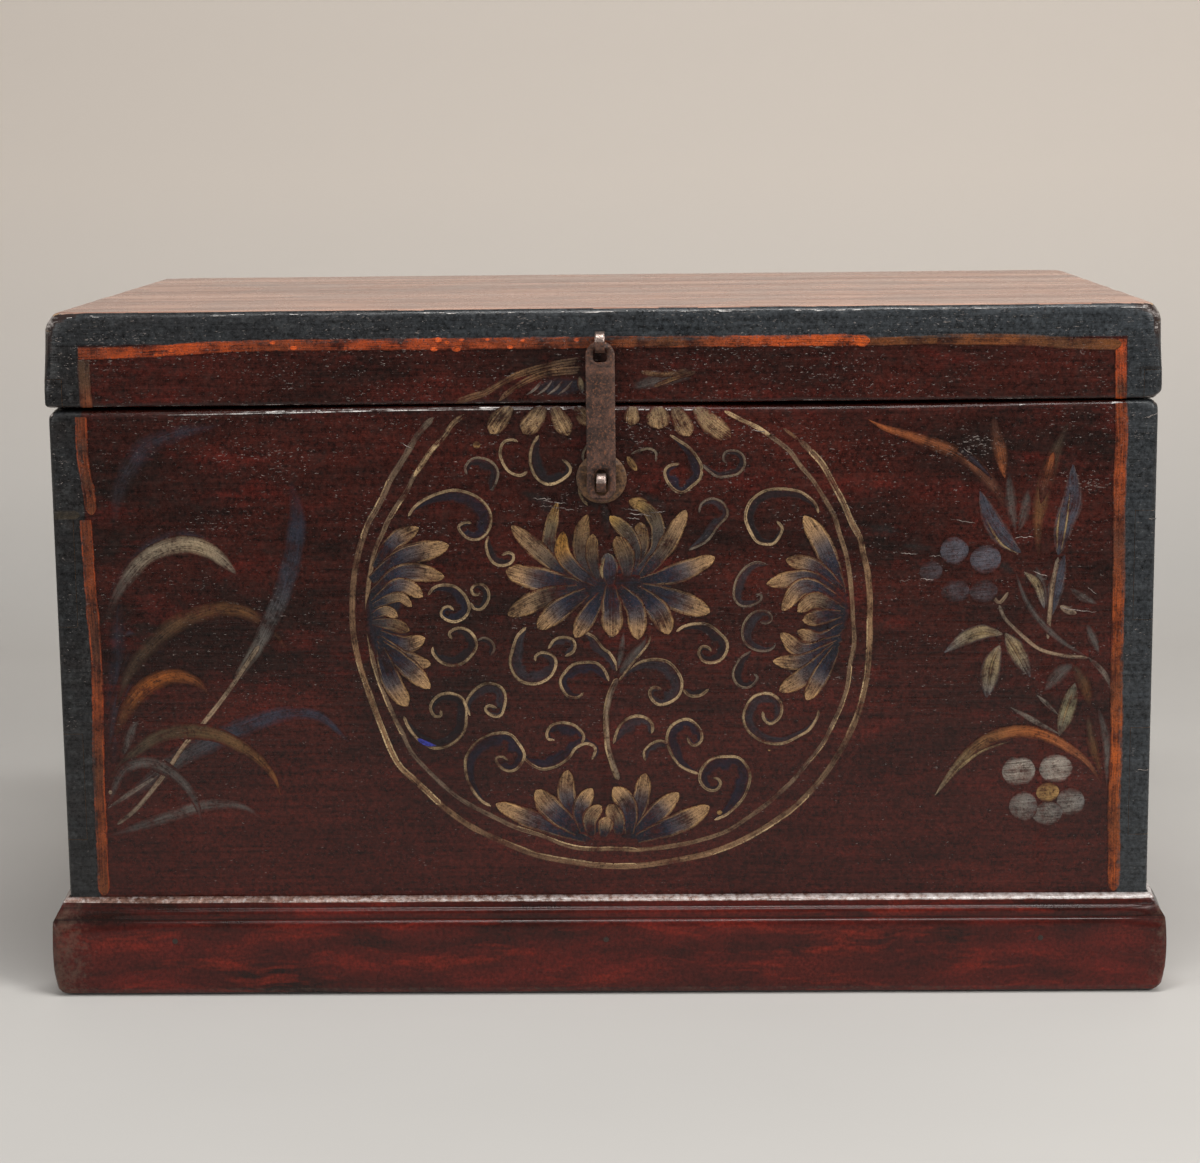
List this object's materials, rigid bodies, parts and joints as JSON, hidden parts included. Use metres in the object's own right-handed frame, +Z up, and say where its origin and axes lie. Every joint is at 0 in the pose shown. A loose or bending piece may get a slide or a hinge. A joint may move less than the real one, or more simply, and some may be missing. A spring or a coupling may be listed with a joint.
{
  "type": "painted trunk",
  "caption": "Painted wooden storage trunk on a moulded plinth, with a hinged lid and an iron hasp that drops over a lock eye.",
  "frame": {"origin": "on the floor, under the middle of the bounding box", "axes": "+Z up, +X to the right of someone facing the front, front face towards -Y"},
  "size_m": [0.8768, 0.5059, 0.54],
  "materials": {
    "red_brown_lacquer": "satin",
    "plinth_lacquer": "satin",
    "worn_top_lacquer": "satin",
    "bare_softwood": "matte",
    "dark_bamboo": "matte",
    "rusty_iron": "matte"
  },
  "bodies": {
    "chest": {"front_board": "red_brown_lacquer", "back_board": "red_brown_lacquer", "left_side_board": "red_brown_lacquer", "right_side_board": "red_brown_lacquer", "bottom_plank_front": "bare_softwood", "bottom_plank_middle": "bare_softwood", "bottom_plank_rear": "bare_softwood", "plinth_front": "plinth_lacquer", "plinth_left": "plinth_lacquer", "plinth_right": "plinth_lacquer", "plinth_back": "plinth_lacquer", "corner_block_front_left": "bare_softwood", "corner_block_front_right": "bare_softwood", "corner_block_back_left": "bare_softwood", "corner_block_back_right": "bare_softwood", "plinth_peg_1": "dark_bamboo", "plinth_peg_2": "dark_bamboo", "plinth_peg_3": "dark_bamboo", "plinth_peg_4": "dark_bamboo", "plinth_peg_5": "dark_bamboo", "plinth_peg_6": "dark_bamboo", "plinth_peg_7": "dark_bamboo", "lock_plate": "rusty_iron", "lock_eye": "rusty_iron", "hinge_left_body_leaf": "rusty_iron", "hinge_left_body_nail_1": "rusty_iron", "hinge_left_body_nail_2": "rusty_iron", "hinge_left_pin": "rusty_iron", "hinge_right_body_leaf": "rusty_iron", "hinge_right_body_nail_1": "rusty_iron", "hinge_right_body_nail_2": "rusty_iron", "hinge_right_pin": "rusty_iron"},
    "lid": {"lid_front_rail": "red_brown_lacquer", "lid_back_rail": "red_brown_lacquer", "lid_left_rail": "red_brown_lacquer", "lid_right_rail": "red_brown_lacquer", "lid_plank_front": "worn_top_lacquer", "lid_plank_rear": "worn_top_lacquer", "lid_peg_1": "dark_bamboo", "lid_peg_2": "dark_bamboo", "lid_peg_3": "dark_bamboo", "lid_peg_4": "dark_bamboo", "lid_peg_5": "dark_bamboo", "lid_peg_6": "dark_bamboo", "lid_peg_7": "dark_bamboo", "lid_peg_8": "dark_bamboo", "hinge_left_lid_leaf": "rusty_iron", "hinge_left_lid_nail_1": "rusty_iron", "hinge_left_lid_nail_2": "rusty_iron", "hinge_right_lid_leaf": "rusty_iron", "hinge_right_lid_nail_1": "rusty_iron", "hinge_right_lid_nail_2": "rusty_iron", "hasp_eye": "rusty_iron"},
    "hasp": {"hasp_strap": "rusty_iron"}
  },
  "joints": [
    {"name": "lid_hinge", "type": "hinge", "parent": "chest", "child": "lid", "pos_m": [0, 0.2484, 0.4668], "axis": [-1, 0, 0], "range_deg": [0, 105]},
    {"name": "hasp_swing", "type": "hinge", "parent": "lid", "child": "hasp", "pos_m": [0, -0.2429, 0.5125], "axis": [-1, 0, 0], "range_deg": [0, 180]}
  ]
}
